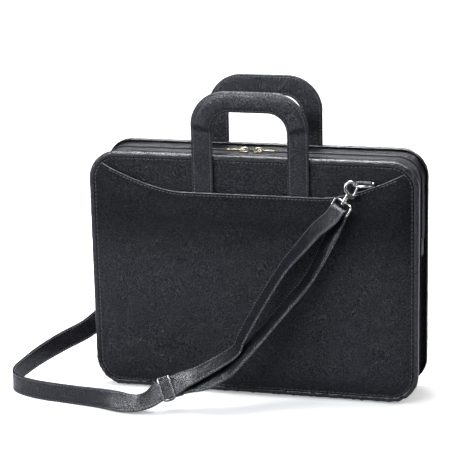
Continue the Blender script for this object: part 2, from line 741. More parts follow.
def build_cover(side):
    heights = BASE_Z + 1.4 + clustered(TOP_Z - BASE_Z - 2.8)
    outer, inner = [], []
    for z, half in zip(heights, half_width(heights, 1.35)):
        x = clustered(2 * half, spans=109) - half
        x = np.interp(np.linspace(0, 1, 147), np.linspace(0, 1, len(x)), x)
        outer.append(columns(x, -cover_y(x, z, side), z))
        inner.append(columns(x, -(COVER_Y - 1.8), z))
    skin = Parts()
    skin.shell(to_side(outer, side), to_side(inner, side), flip=side > 0)
    obj = skin.make(TAG[side] + "_panel_skin", MAT_PANEL)
    assign(obj, SHELL[side], "panel_leather", TAG[side] + "_cover")


def build_pocket(side):
    band, middle_rows = 12, 72
    fine = (0, .2, .45, .8, 1.2, 1.7, 2.2, 2.6, 3.0, 3.4, 3.8, 4.3, 5, 6, 7.5, 9.5, band)
    # each row: height above the lower edge, and its share of the span between the bands
    rows = [(d, 0) for d in fine]
    rows += [(band, (k + 0.5) / middle_rows) for k in range(middle_rows)]
    rows += [(2 * band - d, 1) for d in fine[::-1]]
    low_z = BASE_Z + 4.5
    half_span, near_span = 195.0, 14
    u = clustered(2 * half_span, step=3.1)
    u = (u / u[-1] * 2 - 1) * half_span
    near = half_span - np.abs(u)
    outer, inner = [], []
    for offset, share in rows:
        # a row's height and its width depend on each other, so both settle by repetition
        z = np.full_like(u, 150.0)
        for _ in range(14):
            half = half_width(z, 4.5)
            far = (half - near_span) * np.abs(u) / (half_span - near_span)
            x = np.sign(u) * np.where(near < near_span, half - near, far)
            top = edge_z(x)
            z = low_z + offset + share * (top - low_z - 2 * band)
        y = pocket_y(x, z, side)
        below = top - z if share == 1 else np.full_like(x, 99.0)
        drop = 0.9 * (1 - rounded(below, 1.1))
        outer.append(columns(x, -(y - drop), z))
        back = np.maximum(y - 1.7 - 0.25 * np.exp(-below / 3.0), COVER_Y + 0.6)
        back = np.minimum(back, y - 0.5)
        inner.append(columns(x, -(back + np.minimum(drop, 0.8)), z))
    skin = Parts()
    skin.shell(to_side(outer, side), to_side(inner, side), flip=side > 0)
    obj = skin.make(TAG[side] + "_pocket_skin", MAT_POCKET)
    assign(obj, SHELL[side], "panel_leather", TAG[side] + "_pocket")


def build_pocket_bead(side):
    """The burnished bead rolled along the pocket's curved edge."""
    x = np.linspace(-183, 183, 520)
    z = edge_z(x) - 0.55
    path = to_side(columns(x, -(pocket_y(x, z, side) - 0.5), z), side)
    bead = Parts()
    bead.tube(path, 0.72 + 0.06 * noise(columns(x, z), 9, 77 + side), seg=10)
    assign(bead.make(TAG[side] + "_pocket_bead", MAT_BEAD), SHELL[side], "panel_leather")


def build_panel_stitches(side):
    """Rows under the pocket's edge and inside the binding, over pocket and cover."""
    rows = Parts()
    outward = (0, side, 0)
    x = np.linspace(-174, 174, 700)
    z = edge_z(x) - 3.2
    rows.stitches(to_side(columns(x, -pocket_y(x, z, side), z), side), outward, pitch=4.6)
    points, normals, _, _ = outline_path(2600)
    x, z = (points - normals * 8.0).T
    on_pocket = z < edge_z(x)
    y = np.where(on_pocket, pocket_y(x, z, side), cover_y(x, z, side))
    path = to_side(columns(x, -y, z), side)
    for mask in (on_pocket, ~on_pocket):
        index = np.where(mask)[0]
        for run in np.split(index, np.where(np.diff(index) > 1)[0] + 1):
            if len(run) >= 12:
                rows.stitches(path[run], outward, pitch=5.0)
    obj = rows.make(TAG[side] + "_panel_stitches", MAT_THREAD)
    assign(obj, SHELL[side], "panel_leather")


# section of the binding: inset, depth for a lip at 38, share of the pleats
BINDING = [
    (5.85, 37.2, 0.2), (5.9, 38.2, 0.5), (5.45, 38.75, 0.9), (4.3, 38.95, 1), (2.9, 38.95, 1),
    (1.6, 38.75, 1), (0.7, 38.15, 1), (0.15, 37.2, 1), (0.0, 36.0, 1), (0.0, 34.2, 0.8),
    (0.1, 32.2, 0.6), (0.45, 30.6, 0.4), (1.0, 30.1, 0.1), (1.18, 31.5, 0), (1.2, 34.5, 0),
    (1.22, 36.6, 0), (2.6, 36.92, 0)]


def build_binding(side):
    n = 1500
    points, normals, stations, total = outline_path(n)
    x, z = points.T
    # leather gathered over the edge: fine pleats, stronger low down and at the corners
    corner = bell(np.abs(x), HALF_W - 10, 22) * (bell(z, BASE_Z + 10, 22)
                                                 + bell(z, TOP_Z - 10, 22))
    near_base = np.exp(-np.maximum(z - BASE_Z, 0) / 14.0)
    depth = 0.14 + 0.30 * corner + 0.85 * near_base
    turn = stations * 2 * math.pi / total
    ring = columns(np.cos(turn), np.sin(turn)) * total / (2 * math.pi)
    pleat = noise(ring, 13.0, 31 + side) * 0.7 + noise(ring, 5.2, 33 + side) * 0.45
    # pressed flat along the middle of the top edge, where the handle slides over it
    limit = 38.3 + 4.0 * smooth((np.abs(x) - 73.0) / 10.0) + 4.0 * (z < TOP_Z - 1.0)
    rings = np.zeros((n, len(BINDING), 3))
    for k, (gap, y, share) in enumerate(BINDING):
        fold = depth * pleat * share
        inward = gap - fold * (0.6 if k > 6 else 0.25)
        y = y + BINDING_Y - 38.0 + fold * (0.8 if k <= 7 else 0.1)
        y = y - 0.35 * share * near_base * np.abs(pleat)
        rings[:, k, ::2] = points - normals * inward[:, None]
        rings[:, k, 1] = -np.minimum(y, limit)
    skin = Parts()
    skin.grid(to_side(rings, side), close_u=True, close_v=True, flip=side > 0)
    obj = skin.make(TAG[side] + "_edge_binding", MAT_EDGE)
    assign(obj, SHELL[side], "edge_leather", TAG[side] + "_binding")


for side in (-1, 1):
    build_cover(side)
    build_pocket(side)
    build_pocket_bead(side)
    build_panel_stitches(side)
    build_binding(side)

# ---------------------------------------------------------------- top gussets and zip
# section of the top gusset: inset, depth, share of the unevenness
TOP_GUSSET = [
    (4.6, 34.6, 0), (3.7, 33.4, .3), (3.1, 31.0, .7), (2.9, 27.0, 1), (3.0, 22.0, 1),
    (3.1, 17.0, 1), (3.2, 13.0, .8), (3.35, 11.4, .5), (3.6, 10.9, .3), (3.35, 10.4, .4),
    (3.2, 9.4, .5), (3.4, 8.6, .5), (3.9, 8.25, .4), (4.5, 8.4, .3), (4.8, 9.2, .2),
    (4.9, 14.0, .2), (4.9, 22.0, .3), (5.0, 30.0, .2), (5.0, 34.4, 0)]
# section of the zip tape: inset, depth
TAPE = [(5.25, 13.5), (5.2, 8.0), (5.15, 4.5), (5.1, 2.9), (5.25, 2.65), (5.6, 2.65),
        (5.75, 2.9), (5.85, 8.0), (5.85, 13.5)]
# one turn of the coil: depth, radius, rise
COIL = [(-2.9, .12, -.5), (-2.75, .42, -.35), (-2.2, .5, 0), (-1.2, .52, .12),
        (-0.2, .52, .1), (0.25, .44, -.1), (0.45, .16, -.4)]


def sweep_top(side, name, material, profile, n, wobble):
    """Sweeps a closed profile over the top; wobble moves each line of it outwards."""
    points, normals, stations = top_path(n, 0)
    rings = np.zeros((n, len(profile), 3))
    for k, (gap, y, *_) in enumerate(profile):
        inward = gap - wobble(stations, k, points)
        rings[:, k, ::2] = points - normals * inward[:, None]
        rings[:, k, 1] = -y
    skin = Parts()
    skin.capped(to_side(rings, side), flip=side < 0)
    obj = skin.make(name, material)
    weld(obj)
    return obj


def build_top_gusset(side):
    def wobble(stations, k, points):
        _, y, share = TOP_GUSSET[k]
        flat = columns(stations, y)
        corner = bell(np.abs(points[:, 0]), HALF_W - 12, 26) * bell(points[:, 1], TOP_Z - 12, 26)
        return share * ((0.28 + 0.5 * corner) * noise(flat * [1, 2.2], 34, 41 + side)
                        + (0.1 + 0.3 * corner) * noise(flat * [1, 1.2], 9, 43 + side))

    tag = TAG[side]
    obj = sweep_top(side, tag + "_top_gusset", MAT_GUSSET, TOP_GUSSET, 620, wobble)
    assign(obj, SHELL[side], "gusset_leather", tag + "_gusset")
    points, normals, _ = top_path(1500, 3.5, ZIP_Z + 3)
    path = to_side(columns(points[:, 0], -10.9, points[:, 1]), side)
    row = Parts()
    row.stitches(path, columns(normals[:, 0], 0, normals[:, 1]), pitch=4.2, lift=0.1)
    assign(row.make(tag + "_zip_stitches", MAT_THREAD), SHELL[side], "gusset_leather")


def build_tape(side):
    def wobble(stations, k, points):
        return 0.08 * noise(columns(stations, k), 20, 47 + side)

    obj = sweep_top(side, TAG[side] + "_tape", MAT_TAPE, TAPE, 420, wobble)
    assign(obj, SHELL[side], "zip_tape", TAG[side] + "_zip_tape")


def build_coil(side):
    """One bead per turn, the two halves interleaved, and the cord they are sewn down with."""
    points, normals, stations = top_path(4000, 4.9)
    count = int(stations[-1] / COIL_PITCH)
    mids = (np.arange(count) + (0.25 if side < 0 else 0.75)) * stations[-1] / count
    x, z, normal_x, normal_z = (np.interp(mids, stations, values)[:, None]
                                for values in (*points.T, *normals.T))
    angle = circle(8)
    rings = np.zeros((count, len(COIL), len(angle), 3))
    for k, (y, radius, rise) in enumerate(COIL):
        out = np.cos(angle) * radius * 1.15 + rise
        along = np.sin(angle) * radius
        rings[:, k, :, 0] = x + normal_x * out - normal_z * along
        rings[:, k, :, 2] = z + normal_z * out + normal_x * along
        rings[:, k, :, 1] = y
    coil = Parts()
    coil.beads(to_side(rings, side), flip=side > 0)
    points, _, stations = top_path(900, 5.0)
    path = to_side(columns(points[:, 0], -2.75, points[:, 1]), side)
    ripple = np.sin(stations * 2 * math.pi / COIL_PITCH * 0.5)
    coil.tube(path, 0.42 + 0.06 * ripple, seg=6)
    obj = coil.make(TAG[side] + "_coil", MAT_COIL)
    weld(obj, 0.000002)
    assign(obj, SHELL[side], "zip_coil", TAG[side] + "_zip_coil")


for side in (-1, 1):
    build_top_gusset(side)
    build_tape(side)
    build_coil(side)


# ---------------------------------------------------------------- lower gusset
def build_lower_gusset():
    """One soft sheet: down the right side, under the base and up the left, with both
    sides folded inwards."""
    side_x, base_z = HALF_W - 4.2, 0.6
    radius = CORNER_R - 4.2 + 4.0
    start_z = ZIP_Z + 3.0
    centre_x = side_x - radius
    side_len = start_z - (base_z + radius)
    arc = math.pi * radius / 2
    stations = np.linspace(0, side_len + arc + centre_x, 420)
    points, normals = trace([((centre_x, start_z), 0, side_len, False),
                             ((centre_x, base_z + radius), 0, arc, True),
                             ((centre_x, base_z + radius), -90, centre_x, False)],
                            radius, stations, turn=-1)
    half_y = [0.5, 1.5, 3.5, 6.5, 10, 14, 18, 22, 26, 29, 31.5, 33.4, 34.2]
    depths = [-y for y in half_y[::-1]] + half_y
    fold_end = side_len + arc * 0.75
    t = np.clip(stations / fold_end, 0, 1)
    hollow = np.maximum(np.sin(math.pi * np.power(t, 0.9)), 0)
    hollow = 27.0 * np.power(hollow, 0.75) * (stations < fold_end)
    right = np.zeros((len(stations), len(depths), 3))
    for k, y in enumerate(depths):
        inner = np.clip(1 - abs(y) / 33.0, 0, 1)
        bulge = 1.6 * math.sin(math.pi * inner) * (1 - t) ** 0.5 * 0.6
        flat = columns(stations, y * 1.6)
        creases = 0.55 * noise(flat * [0.6, 1], 30, 51) + 0.22 * noise(flat, 11, 52)
        creases = creases * np.clip((34 - abs(y)) / 8, 0, 1)
        inward = hollow * inner ** 0.85 - bulge
        inward = inward - creases * np.where(stations < side_len + arc, 1.0, 0.25)
        inward = np.where(stations > side_len + arc * 0.9, np.abs(inward) * 0.3, inward)
        inward = inward + 1.2 * np.clip((abs(y) - 32) / 2.2, 0, 1)
        right[:, k, ::2] = points - normals * inward[:, None]
        right[:, k, 1] = y
    left = right[::-1] * [-1, 1, 1]
    outer = np.concatenate([right, left[1:]])
    outward = unit(np.cross(np.gradient(outer, axis=0), np.gradient(outer, axis=1)))
    sheet = Parts()
    sheet.shell(outer, outer - outward * 1.3)
    obj = sheet.make("folded_gusset", MAT_GUSSET)
    weld(obj)
    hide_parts("bottom_gusset", "left_side_gusset", "right_side_gusset")
    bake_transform(obj)


build_lower_gusset()


# ---------------------------------------------------------------- handles
def handle_edges(gap, n, lift):
    """Outer and inner edge (x, z) of the handle, both drawn in by gap, from the right
    leg's end to the left one's; equal indices face each other."""
    edges = []
    for half, top, bend in (
            (HANDLE_HALF - gap, HANDLE_TOP - gap, BEND_OUT - gap),
            (HANDLE_HALF - LEG_W + gap, HANDLE_TOP - BAR_W + gap, BEND_IN + gap)):
        points = []
        # u runs 0-1.4 up the leg, to 2 round the bend and to 3 at the middle of the bar
        for u in np.linspace(0, 3, n):
            if u <= 1.4:
                points.append((half, HANDLE_BASE + (top - bend - HANDLE_BASE) * u / 1.4))
            elif u <= 2.0:
                angle = (u - 1.4) / 0.6 * math.pi / 2
                points.append((half - bend + bend * math.cos(angle),
                               top - bend + bend * math.sin(angle)))
            else:
                points.append(((half - bend) * (3 - u), top))
        points = np.array(points)
        points = np.concatenate([points, points[::-1][1:] * [-1, 1]])
        points[:, 1] += lift * smooth((points[:, 1] - 262) / 70)
        edges.append(points)
    return edges


def padding(points, lift):
    """How free each point is to swell: 1 on the grip's outer face, inside its stitches."""
    x, z = np.abs(points[:, 0]), points[:, 2] - lift

    def past_bend(half, top, bend):
        over_x, over_z = x - (half - bend), z - (top - bend)
        reach = np.hypot(np.maximum(over_x, 0), np.maximum(over_z, 0)) - bend
        return np.where((over_x > 0) & (over_z > 0), reach, np.maximum(x - half, z - top))

    outer = -past_bend(HANDLE_HALF, HANDLE_TOP, BEND_OUT)
    inner = past_bend(HANDLE_HALF - LEG_W, HANDLE_TOP - BAR_W, BEND_IN)
    free = smooth((np.minimum(outer, inner) - 3.6) / 2.2) * smooth((z - 331) / 6)
    return free * (np.abs(points[:, 1]) > (LEG_Y + GRIP_Y) / 2)


def read_points(mesh):
    points = np.zeros(len(mesh.vertices) * 3)
    mesh.vertices.foreach_get("co", points)
    return points.reshape(-1, 3)


def puff(obj, lift, cap=1.2, frames=14):
    """Cloth simulation that blows the grip out; points move by at most cap (mm)."""
    scene = bpy.context.scene
    before = read_points(obj.data)
    group = obj.vertex_groups.new(name="pin")
    for k, weight in enumerate(1.0 - padding(before / MM, lift)):
        group.add([k], float(min(1.0, max(0.0, weight))), "REPLACE")
    modifier = obj.modifiers.new("cloth", "CLOTH")
    cloth = modifier.settings
    cloth.quality = 4
    cloth.mass = 0.25
    cloth.tension_stiffness = cloth.compression_stiffness = 12
    cloth.shear_stiffness = 6
    cloth.bending_stiffness = 0.25
    cloth.air_damping = 2.0
    cloth.use_pressure = True
    cloth.uniform_pressure_force = 4.0
    cloth.shrink_min = cloth.shrink_max = -0.015       # negative: the cloth grows
    cloth.vertex_group_mass = "pin"
    cloth.pin_stiffness = 5.0
    cloth.effector_weights.gravity = 0.0
    modifier.collision_settings.use_collision = False
    modifier.point_cache.frame_start = 1
    modifier.point_cache.frame_end = frames
    for number in range(1, frames + 1):
        scene.frame_set(number)
    graph = bpy.context.evaluated_depsgraph_get()
    moved = np.nan_to_num(read_points(obj.evaluated_get(graph).data) - before)
    distance = np.linalg.norm(moved, axis=1, keepdims=True)
    moved *= np.minimum(1.0, cap * MM / np.maximum(distance, 1e-9))
    obj.modifiers.remove(modifier)
    obj.vertex_groups.clear()
    obj.data.vertices.foreach_set("co", (before + moved).ravel())
    obj.data.update()
    scene.frame_set(1)


# lines across the handle, from its inner edge (0) to its outer edge (1)
HANDLE_LINES = [0, .02, .05, .085, .115, .14, .17, .22, .3, .4, .5, .6, .7, .78, .83, .86,
                .885, .915, .95, .98, 1.0]
HANDLE_STITCH_LINES = (4, 16)


def handle_faces(side, lift):
    """Outer and inner face of the handle's leather, built for the front."""
    outer, inner = handle_edges(0, 150, lift)
    middle = (outer + inner) / 2
    dist = lengths(middle)
    height = middle[:, 1] - lift
    pad = smooth((height - 325) / 11)                    # the grip is padded
    faces = np.zeros((2, len(middle), len(HANDLE_LINES), 3))
    for k, t in enumerate(HANDLE_LINES):
        edge = min(t, 1 - t) * LEG_W
        x, z = (inner * (1 - t) + outer * t).T
        flat = columns(dist, t * LEG_W)
        turn = rounded(edge, 1.3)
        crown = smooth(edge / 9.0)
        groove = 0.5 * bell(edge, 3.1, 0.7)
        thin = LEG_Y + 1.2 + 1.25 * turn + 0.12 * crown
        full = LEG_Y + 3.0 + 1.6 * turn + (GRIP_Y - LEG_Y - 5.0) * math.sqrt(crown) * 0.98
        front = thin * (1 - pad) + full * pad - groove
        front = front + crown * (0.10 + 0.16 * pad) * noise(flat * [1, 1.4], 24, 61 + side)
        front = front + 0.06 * noise(flat, 8, 63 + side)
        # crease where the padding ends
        front = front - 0.28 * bell(height, 328.5, 2.2) * crown
        thin = LEG_Y + 1.2 - 1.15 * turn
        full = LEG_Y + 2.6 - 1.6 * turn - 0.6 * crown
        back = np.maximum(thin * (1 - pad) + full * pad + groove * 0.5, LEG_Y + 0.02)
        faces[0, :, k] = columns(x, -front, z)
        faces[1, :, k] = columns(x, -back, z)
    return faces


def build_handle(side):
    tag, body = TAG[side], TAG[side] + "_handle"
    lift = REAR_LIFT if side > 0 else 0.0
    front, back = handle_faces(side, lift)
    skin = Parts()
    skin.shell(to_side(front, side), to_side(back, side), flip=side < 0)
    obj = skin.make(tag + "_handle_skin", MAT_HANDLE)
    weld(obj)
    puff(obj, lift)
    assign(obj, body, "handle_leather", tag + "_handle_cover")

    # stiffener between the two rows of stitches
    outer, inner = handle_edges(3.4, 60, lift)
    faces = []
    for way in (1, -1):
        lines = []
        for t in np.linspace(0, 1, 7):
            x, z = (inner * (1 - t) + outer * t).T
            half = 0.36 * math.sqrt(max(0.05, 1 - (2 * t - 1) ** 4))
            lines.append(columns(x, -(LEG_Y + 1.2 + way * half), z))
        faces.append(to_side(np.stack(lines, 1), side))
    core = Parts()
    core.shell(*faces, flip=side < 0)
    obj = core.make(tag + "_handle_stiffener", MAT_CORE)
    weld(obj)
    assign(obj, body, "handle_core", tag + "_handle_core")

    rows = Parts()
    for k in HANDLE_STITCH_LINES:
        for face, outward in ((front, side), (back, -side)):
            path = face[face[:, k, 2] > HANDLE_BASE + 4, k]
            rows.stitches(to_side(path, side), (0, outward, 0), pitch=3.9, lift=0.08)
    assign(rows.make(tag + "_handle_stitches", MAT_THREAD), body, "handle_leather")


for side in (-1, 1):
    build_handle(side)


# ---------------------------------------------------------------- rings and hooks
def hook_axes(side):
    """Origin on the swivel's axis, then across, depth and along the hook."""
    turn, gate = TAG[side] + "_hook_turn", TAG[side] + "_gate_press"
    z = unit(JOINTS[turn]["axis"])
    y = side * unit(JOINTS[gate]["axis"])
    y = unit(y - z * (y @ z))
    x = np.cross(y, z)
    return joint_mm(turn), (-x if x[0] < 0 else x), y, z


def build_ring(side):
    """A D-ring lying level: the bar on the hinge axis, the bow away from the case."""
    x, y, z = joint_mm(TAG[side] + "_ring_drop")
    radius, leg, bend = 13.0, 4.0, 2.2
    angle = np.linspace(0, math.pi, 40)
    bow = columns(x + radius * np.cos(angle), y + side * (leg + radius * np.sin(angle)), z)
    angle = np.linspace(0, math.pi / 2, 6)[1:-1]
    reach = radius - bend + bend * np.sin(angle)
    bend_y = y + side * (bend - bend * np.cos(angle))
    right, left = columns(x + reach, bend_y, z), columns(x - reach, bend_y, z)
    bar = columns(x + (radius - bend) * np.linspace(-1, 1, 9), y, z)
    ring = Parts()
    ring.tube(np.concatenate([bar, right, bow, left[::-1]]), 1.3, seg=14, closed=True)
    obj = ring.make(TAG[side] + "_ring", MAT_NICKEL)
    assign(obj, TAG[side] + "_ring", "nickel_hardware", TAG[side] + "_d_ring")


# the hook's barrel and the swivel's collar: radius, height
BARREL = [(0.01, -4.2), (1.6, -4.1), (2.4, -3.7), (2.6, -3.0), (2.3, -2.3), (1.48, -2.15),
          (1.48, 1.75), (2.9, 1.8), (3.15, 2.3), (3.15, 3.6), (2.75, 3.9), (2.7, 4.3),
          (3.1, 4.6), (3.2, 6.2), (2.9, 7.4), (2.4, 8.3), (1.2, 9.0), (0.01, 9.2)]
COLLAR = [(1.56, -1.55), (2.6, -1.6), (3.2, -1.3), (3.45, -0.6), (3.45, 0.6), (3.2, 1.3),
          (2.6, 1.6), (1.56, 1.55), (1.56, -1.55)]
# the gate: local x and z, at even steps
GATE = np.array([(6.2, 9.6), (6.3, 11.5), (6.45, 15), (6.4, 18.5), (6.0, 21.2), (5.6, 22.2)])


def build_hook_body(side, axes):
    """Barrel, jaw and nose, and the two cheeks beside the gate's root."""
    origin, across, depth, rise = axes
    tag = TAG[side]
    hook = Parts()
    hook.lathe(BARREL, axes)
    angle = np.radians(np.linspace(262, 32, 46))
    jaw = columns(6.9 * np.cos(angle), 0, 18.5 + 6.9 * np.sin(angle))
    path = np.concatenate([[(0.3, 0, 6.5), (0.1, 0, 8.5), (-0.3, 0, 10.4)], jaw])
    count = len(path)
    radius = np.interp(np.arange(count), [0, 3, 12, 30, count - 5, count - 1],
                       [2.6, 2.5, 2.15, 1.8, 1.65, 1.35])
    hook.tube(place(path, axes), radius, seg=14, up=depth)
    pieces = [hook.make(tag + "_hook_jaw", MAT_NICKEL)]
    cheek = [(6.2 + 2.2 * math.cos(t), 10 + 2.2 * math.sin(t))
             for t in np.radians(np.linspace(-80, 90, 12))]
    cheek += [(3.5, 11.6), (0.2, 10.6), (0.2, 6.8), (4.0, 6.9)]
    for offset in (-2.33, 2.33):
        pieces.append(plate(tag + "_cheek", [cheek], 0.55, 0.25,
                            (origin + depth * offset, across, rise, depth), MAT_NICKEL))
    obj = join(tag + "_hook", pieces)
    assign(obj, tag + "_hook", "nickel_hardware", tag + "_hook_body")


def build_gate(side, axes):
    """The gate with its thumb tab."""
    tag, depth = TAG[side], axes[2]
    u = np.linspace(0, 1, 24)
    x, z = (np.interp(u, np.linspace(0, 1, 6), values) for values in GATE.T)
    gate = Parts()
    radius = np.interp(u, [0, .1, .8, 1], [1.55, 1.35, 1.25, 1.0])
    gate.tube(place(columns(x, 0, z), axes), radius, up=depth)
    tab = [(6.9, 0, 13.2), (8.0, 0, 13.6), (8.9, 0, 13.7)]
    gate.tube(place(tab, axes), [1.0, 0.95, 0.8], seg=10, up=depth)
    obj = gate.make(tag + "_gate", MAT_NICKEL)
    assign(obj, tag + "_gate", "nickel_hardware", tag + "_hook_gate")


def build_swivel(side, axes):
    """The collar round the hook's barrel and the strap's loop below it."""
    origin, across, depth, rise = axes
    swivel = Parts()
    swivel.lathe(COLLAR, axes)
    twist = math.radians(-40)                            # the loop is turned from the hook
    loop_x = across * math.cos(twist) + depth * math.sin(twist)
    loop_y = np.cross(rise, loop_x)
    half, bottom, upper_r, lower_r = 15.0, -12.0, 3.6, 1.8
    points = [(3.2, 0, 0), (half - upper_r, 0, 0)]
    points += [(half - upper_r + upper_r * math.sin(b), 0, -upper_r + upper_r * math.cos(b))
               for b in np.linspace(0, math.pi / 2, 8)[1:]]
    points += [(half, 0, z) for z in np.linspace(-upper_r, bottom + lower_r, 4)[1:]]
    points += [(half - lower_r + lower_r * math.cos(b), 0,
                bottom + lower_r - lower_r * math.sin(b))
               for b in np.linspace(0, math.pi / 2, 6)[1:]]
    points = np.array(points)
    points = np.concatenate([points, (points * [-1, 1, 1])[::-1]])
    swivel.tube(place(points, (origin, loop_x, loop_y, rise)), 1.35, up=loop_y)
    obj = swivel.make(TAG[side] + "_swivel", MAT_NICKEL)
    assign(obj, SHELL[side], "nickel_hardware", TAG[side] + "_hook_swivel")


def build_ring_tab(side):
    """The leather tab folded round the ring's bar."""
    bar_x, bar_y, bar_z = joint_mm(TAG[side] + "_ring_drop")
    half, fold = 9.4, 2.9
    front, back = side * (COVER_Y + 2.0), side * (COVER_Y + 0.15)
    # section of the tab: y, z
    loop = [(front, bar_z - 32), (front, bar_z - 14), (side * (COVER_Y + 2.2), bar_z - 7),
            (bar_y + side * 1.8, bar_z - 3.4)]
    loop += [(bar_y + side * fold * math.cos(t), bar_z + fold * math.sin(t))
             for t in np.linspace(math.radians(-62), math.radians(178), 16)]
    loop += [(back, bar_z - 2.2), (back, bar_z - 14), (back, bar_z - 32)]
    y, z = np.array(loop).T
    edges = np.array([0, .25, .8, 1.6, 2.6, half - 4])
    rings = []
    for x in [*(edges - half), 0, *(half - edges[::-1])]:
        shrink = 0.35 * (1 - min(1, (half - abs(x)) / 0.8)) ** 2
        rings.append(columns(bar_x + x, y + np.sign(y.mean() - y) * shrink, z))
    tab = Parts()
    tab.capped(np.array(rings), flip=side > 0)
    obj = tab.make(TAG[side] + "_tab", MAT_EDGE)
    weld(obj)
    assign(obj, SHELL[side], "edge_leather", TAG[side] + "_ring_tab")


for side in (-1, 1):
    axes = hook_axes(side)
    build_ring(side)
    build_hook_body(side, axes)
    build_gate(side, axes)
    build_swivel(side, axes)
    build_ring_tab(side)

# ---------------------------------------------------------------- zip sliders and pulls
# half outlines, (x, y): slider with broad shoulders and narrow tail, and waisted pull
SLIDER = [(5.4, 2.2), (5.5, 3.2), (5.1, 4.2), (4.0, 4.6), (2.0, 4.5), (0, 4.2), (-2.0, 3.7),
          (-4.0, 3.3), (-5.2, 2.6), (-5.5, 1.6)]
PULL = [(0.9, 1.9), (-0.3, 3.0), (-1.8, 3.1), (-6.0, 2.6), (-8.0, 2.3), (-11, 2.1),
        (-14, 2.3), (-17.5, 2.9), (-20.5, 3.05), (-21.8, 2.4), (-22.2, 1.2)]
PULL_EYE = [(-0.55, 1.75), (-5.9, 1.75), (-6.8, 1.0)]


def mirrored(outline):
    return outline + [(x, -y) for x, y in outline[::-1]]


def ellipse(centre_x, radius_x, radius_y):
    return [(centre_x + radius_x * math.cos(t), radius_y * math.sin(t)) for t in circle(16)]


def build_slider(tag, hand):
    """Slider body and pull; hand is -1 at the left, +1 at the right."""
    hinge = joint_mm(tag + "_pull_flip")
    x = hinge[0]
    coil_top = hinge[2] - 3.6
    level = ((1, 0, 0), (0, 1, 0), (0, 0, 1))
    upper = [(u * -hand, v) for u, v in mirrored(SLIDER)]
    lower = [(u, v * .92) for u, v in upper]
    post = [(-1.9, -2.2), (1.9, -2.2), (1.9, 2.2), (-1.9, 2.2)]
    pieces = [
        plate(tag + "_sl_top", [upper], 0.72, 0.35, ((x, 0, coil_top + 1.65), *level),
              MAT_ZIP_METAL),
        plate(tag + "_sl_low", [lower], 0.7, 0.3, ((x, 0, coil_top - 4.25), *level),
              MAT_ZIP_METAL),
        plate(tag + "_sl_post", [post], 0.33, 0.08,
              ((x, 0, coil_top - 1.4), (1, 0, 0), (0, 0, 1), (0, -1, 0)), MAT_ZIP_METAL)]
    # the bridge that holds the pull
    t = np.linspace(0, 1, 26)
    path = columns(x + np.cos(math.pi * (1 - t)) * 4.7, 0,
                   coil_top + 2.2 + 4.1 * np.power(np.sin(math.pi * t), 0.42))
    across = np.array([0, 1.0, 0])
    normals = np.cross(unit(np.gradient(path, axis=0)), across)
    cos, sin = np.cos(circle(10))[:, None], np.sin(circle(10))[:, None]
    bridge = Parts()
    bridge.capped(path[:, None] + cos * across + sin * normals[:, None] * 0.72, flip=True)
    arch = bridge.make(tag + "_sl_arch", MAT_ZIP_METAL)
    weld(arch)
    obj = join(tag + "_slider_body", pieces + [arch])
    assign(obj, tag + "_slider", "zip_metal", tag + "_zip_slider")
    # blade with an eye for the bridge, a round hole and a slot
    loops = [mirrored(PULL), mirrored(PULL_EYE), ellipse(-18.0, 1.3, 1.3),
             ellipse(-12.4, 3.0, 0.75)]
    obj = plate(tag + "_pull", loops, 0.5, 0.2,
                (hinge, (-hand, 0, 0), (0, 1, 0), (0, 0, -hand)), MAT_ZIP_METAL)
    assign(obj, tag + "_pull", "zip_metal", tag + "_zip_pull")


build_slider("left", -1)
build_slider("right", 1)

# ---------------------------------------------------------------- shoulder strap
STRAP_W, STRAP_THICK = 24.6, 3.0
# stations of the strap: x, y, z, then the direction across the band
UP_TO_HOOK = [
    [100.5, -62.2, 233.2, .72, -.65, -.25], [84, -62, 218.5, .62, -.72, -.31],
    [66, -61.5, 197, .5, -.8, -.33], [44, -62, 170, .43, -.857, -.28],
    [19, -69, 129, .43, -.857, -.28], [-3, -80, 88, .43, -.857, -.28],
    [-12, -87, 70, .43, -.857, -.28]]
UNDER_RUN = [
    [-11, -98.5, 57, .42, -.84, -.36], [20, -81, 92, .43, -.857, -.28],
    [46, -71, 124, .43, -.857, -.28], [74, -64, 159, .43, -.857, -.28],
    [98, -59, 206, .62, -.73, -.28]]
MAIN_RUN = [
    [-18, -89, 65, .43, -.857, -.28], [-51.5, -101, 46.2, .42, -.82, -.38],
    [-68.2, -108, 39.4, .42, -.7, -.57], [-81, -113.5, 32.3, .38, -.36, -.85],
    [-94.6, -118, 27.3, .38, -.36, -.85], [-107.7, -121, 16.9, .25, -.68, -.66],
    [-123, -122.3, 11.2, .1, -.8, -.6], [-137.9, -122.5, 10.9, 0, -.68, -.74],
    [-152.6, -121.5, 12.5, 0, -.4, -.92], [-174, -118.5, 13.3, 0, -.1, -1],
    [-206, -114, 13.3, 0, 0, -1], [-258, -104, 13.3, 0, 0, -1], [-288, -88, 13.4, 0, 0, -1],
    [-298, -66, 14, 0, 0, -1], [-294, -41, 17.5, 0, 0, -1], [-281, -14, 25.5, .08, 0, -1],
    [-260, 10, 36, .25, 0, -.97], [-232, 32, 49.5, .35, .05, -.94],
    [-208, 50, 74, .55, .2, -.8], [-194, 59, 115, .62, .5, -.6],
    [-187, 61, 160, .66, .64, -.4], [-180, 61, 200, .741, .63, -.234]]
REAR_END = [[-174.5, 54.8, 200, .741, .63, -.234], [-181, 54.5, 170, .7, .64, -.3]]
TAIL_START = [[-40, -106.5, 39, .42, -.83, -.4], [-19, -101, 50.5, .42, -.84, -.36]]
MAIN_CURVE = spline(MAIN_RUN)

# the buckle sits at this point of the main curve; its bar lies this far off the band
BUCKLE_AT, BAR_OFFSET, BAR_FOLD = 14, -6.1, 3.0


